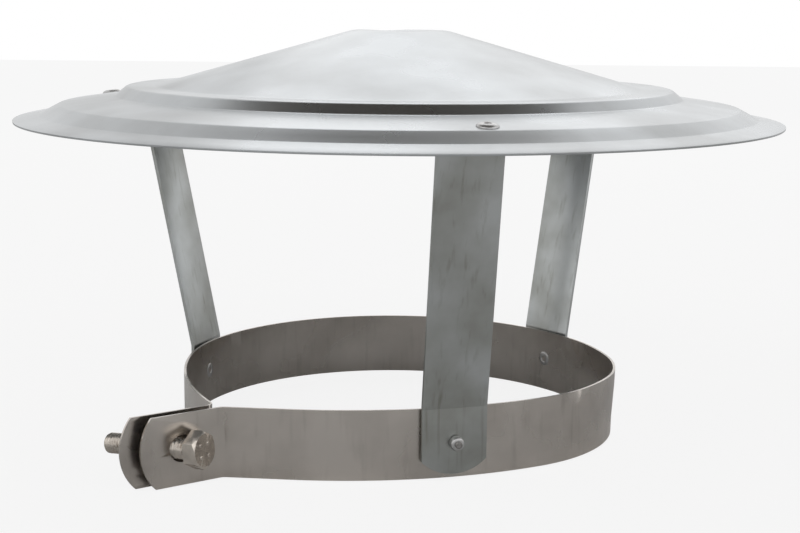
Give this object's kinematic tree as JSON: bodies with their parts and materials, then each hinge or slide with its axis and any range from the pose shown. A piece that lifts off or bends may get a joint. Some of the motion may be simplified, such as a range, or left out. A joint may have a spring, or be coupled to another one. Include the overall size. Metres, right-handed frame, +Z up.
{
  "type": "rain cap",
  "caption": "Stepped round hood on riveted legs above an open clamp band with outward ears and a hexagon bolt, for the end of a round flue pipe.",
  "frame": {"origin": "on the hood's axis, in the plane of the clamp band's lower edge", "axes": "+Z up along the hood's axis, -Y towards the side with the front leg, the clamp's ears at the front left"},
  "size_m": [0.315, 0.315, 0.1676],
  "materials": {
    "galvanised_sheet": "smooth zinc-coated sheet, satin to glossy, lightly mottled",
    "zinc_strip": "zinc-coated strip with scratches",
    "stainless_band": "rolled stainless strip, warm grey",
    "rivet_zinc": "satin",
    "mandrel_steel": "broken steel, dull",
    "stainless_bolt": "stainless, satin"
  },
  "bodies": {
    "cap": {"hood": "galvanised_sheet", "leg_left": "zinc_strip", "leg_front": "zinc_strip", "leg_right": "zinc_strip", "clamp_band": "stainless_band", "hood_rivet_front": "rivet_zinc", "hood_rivet_right": "rivet_zinc", "hood_rivet_left": "rivet_zinc", "hood_mandrel_front": "mandrel_steel", "hood_mandrel_right": "mandrel_steel", "hood_mandrel_left": "mandrel_steel", "band_rivet_left": "rivet_zinc", "band_rivet_front": "rivet_zinc", "band_rivet_right": "rivet_zinc", "band_mandrel_left": "mandrel_steel", "band_mandrel_front": "mandrel_steel", "band_mandrel_right": "mandrel_steel"},
    "bolt": {"clamp_bolt": "stainless_bolt"},
    "nut": {"clamp_nut": "stainless_bolt"}
  },
  "joints": [
    {"name": "nut_spin", "type": "hinge", "parent": "cap", "child": "nut", "pos_m": [-0.09314, -0.08424, 0.01286], "axis": [-0.8713, 0.483, -0.0872], "range_deg": [-72.5, 4320.5]},
    {"name": "bolt_travel", "type": "slide", "parent": "cap", "child": "bolt", "axis": [0.8713, -0.483, 0.0872], "range_m": [-0.00025, 0.015]}
  ],
  "couplings": [
    {"joint": "nut_spin", "follows": "bolt_travel", "rad_per_m": 5026.5}
  ]
}
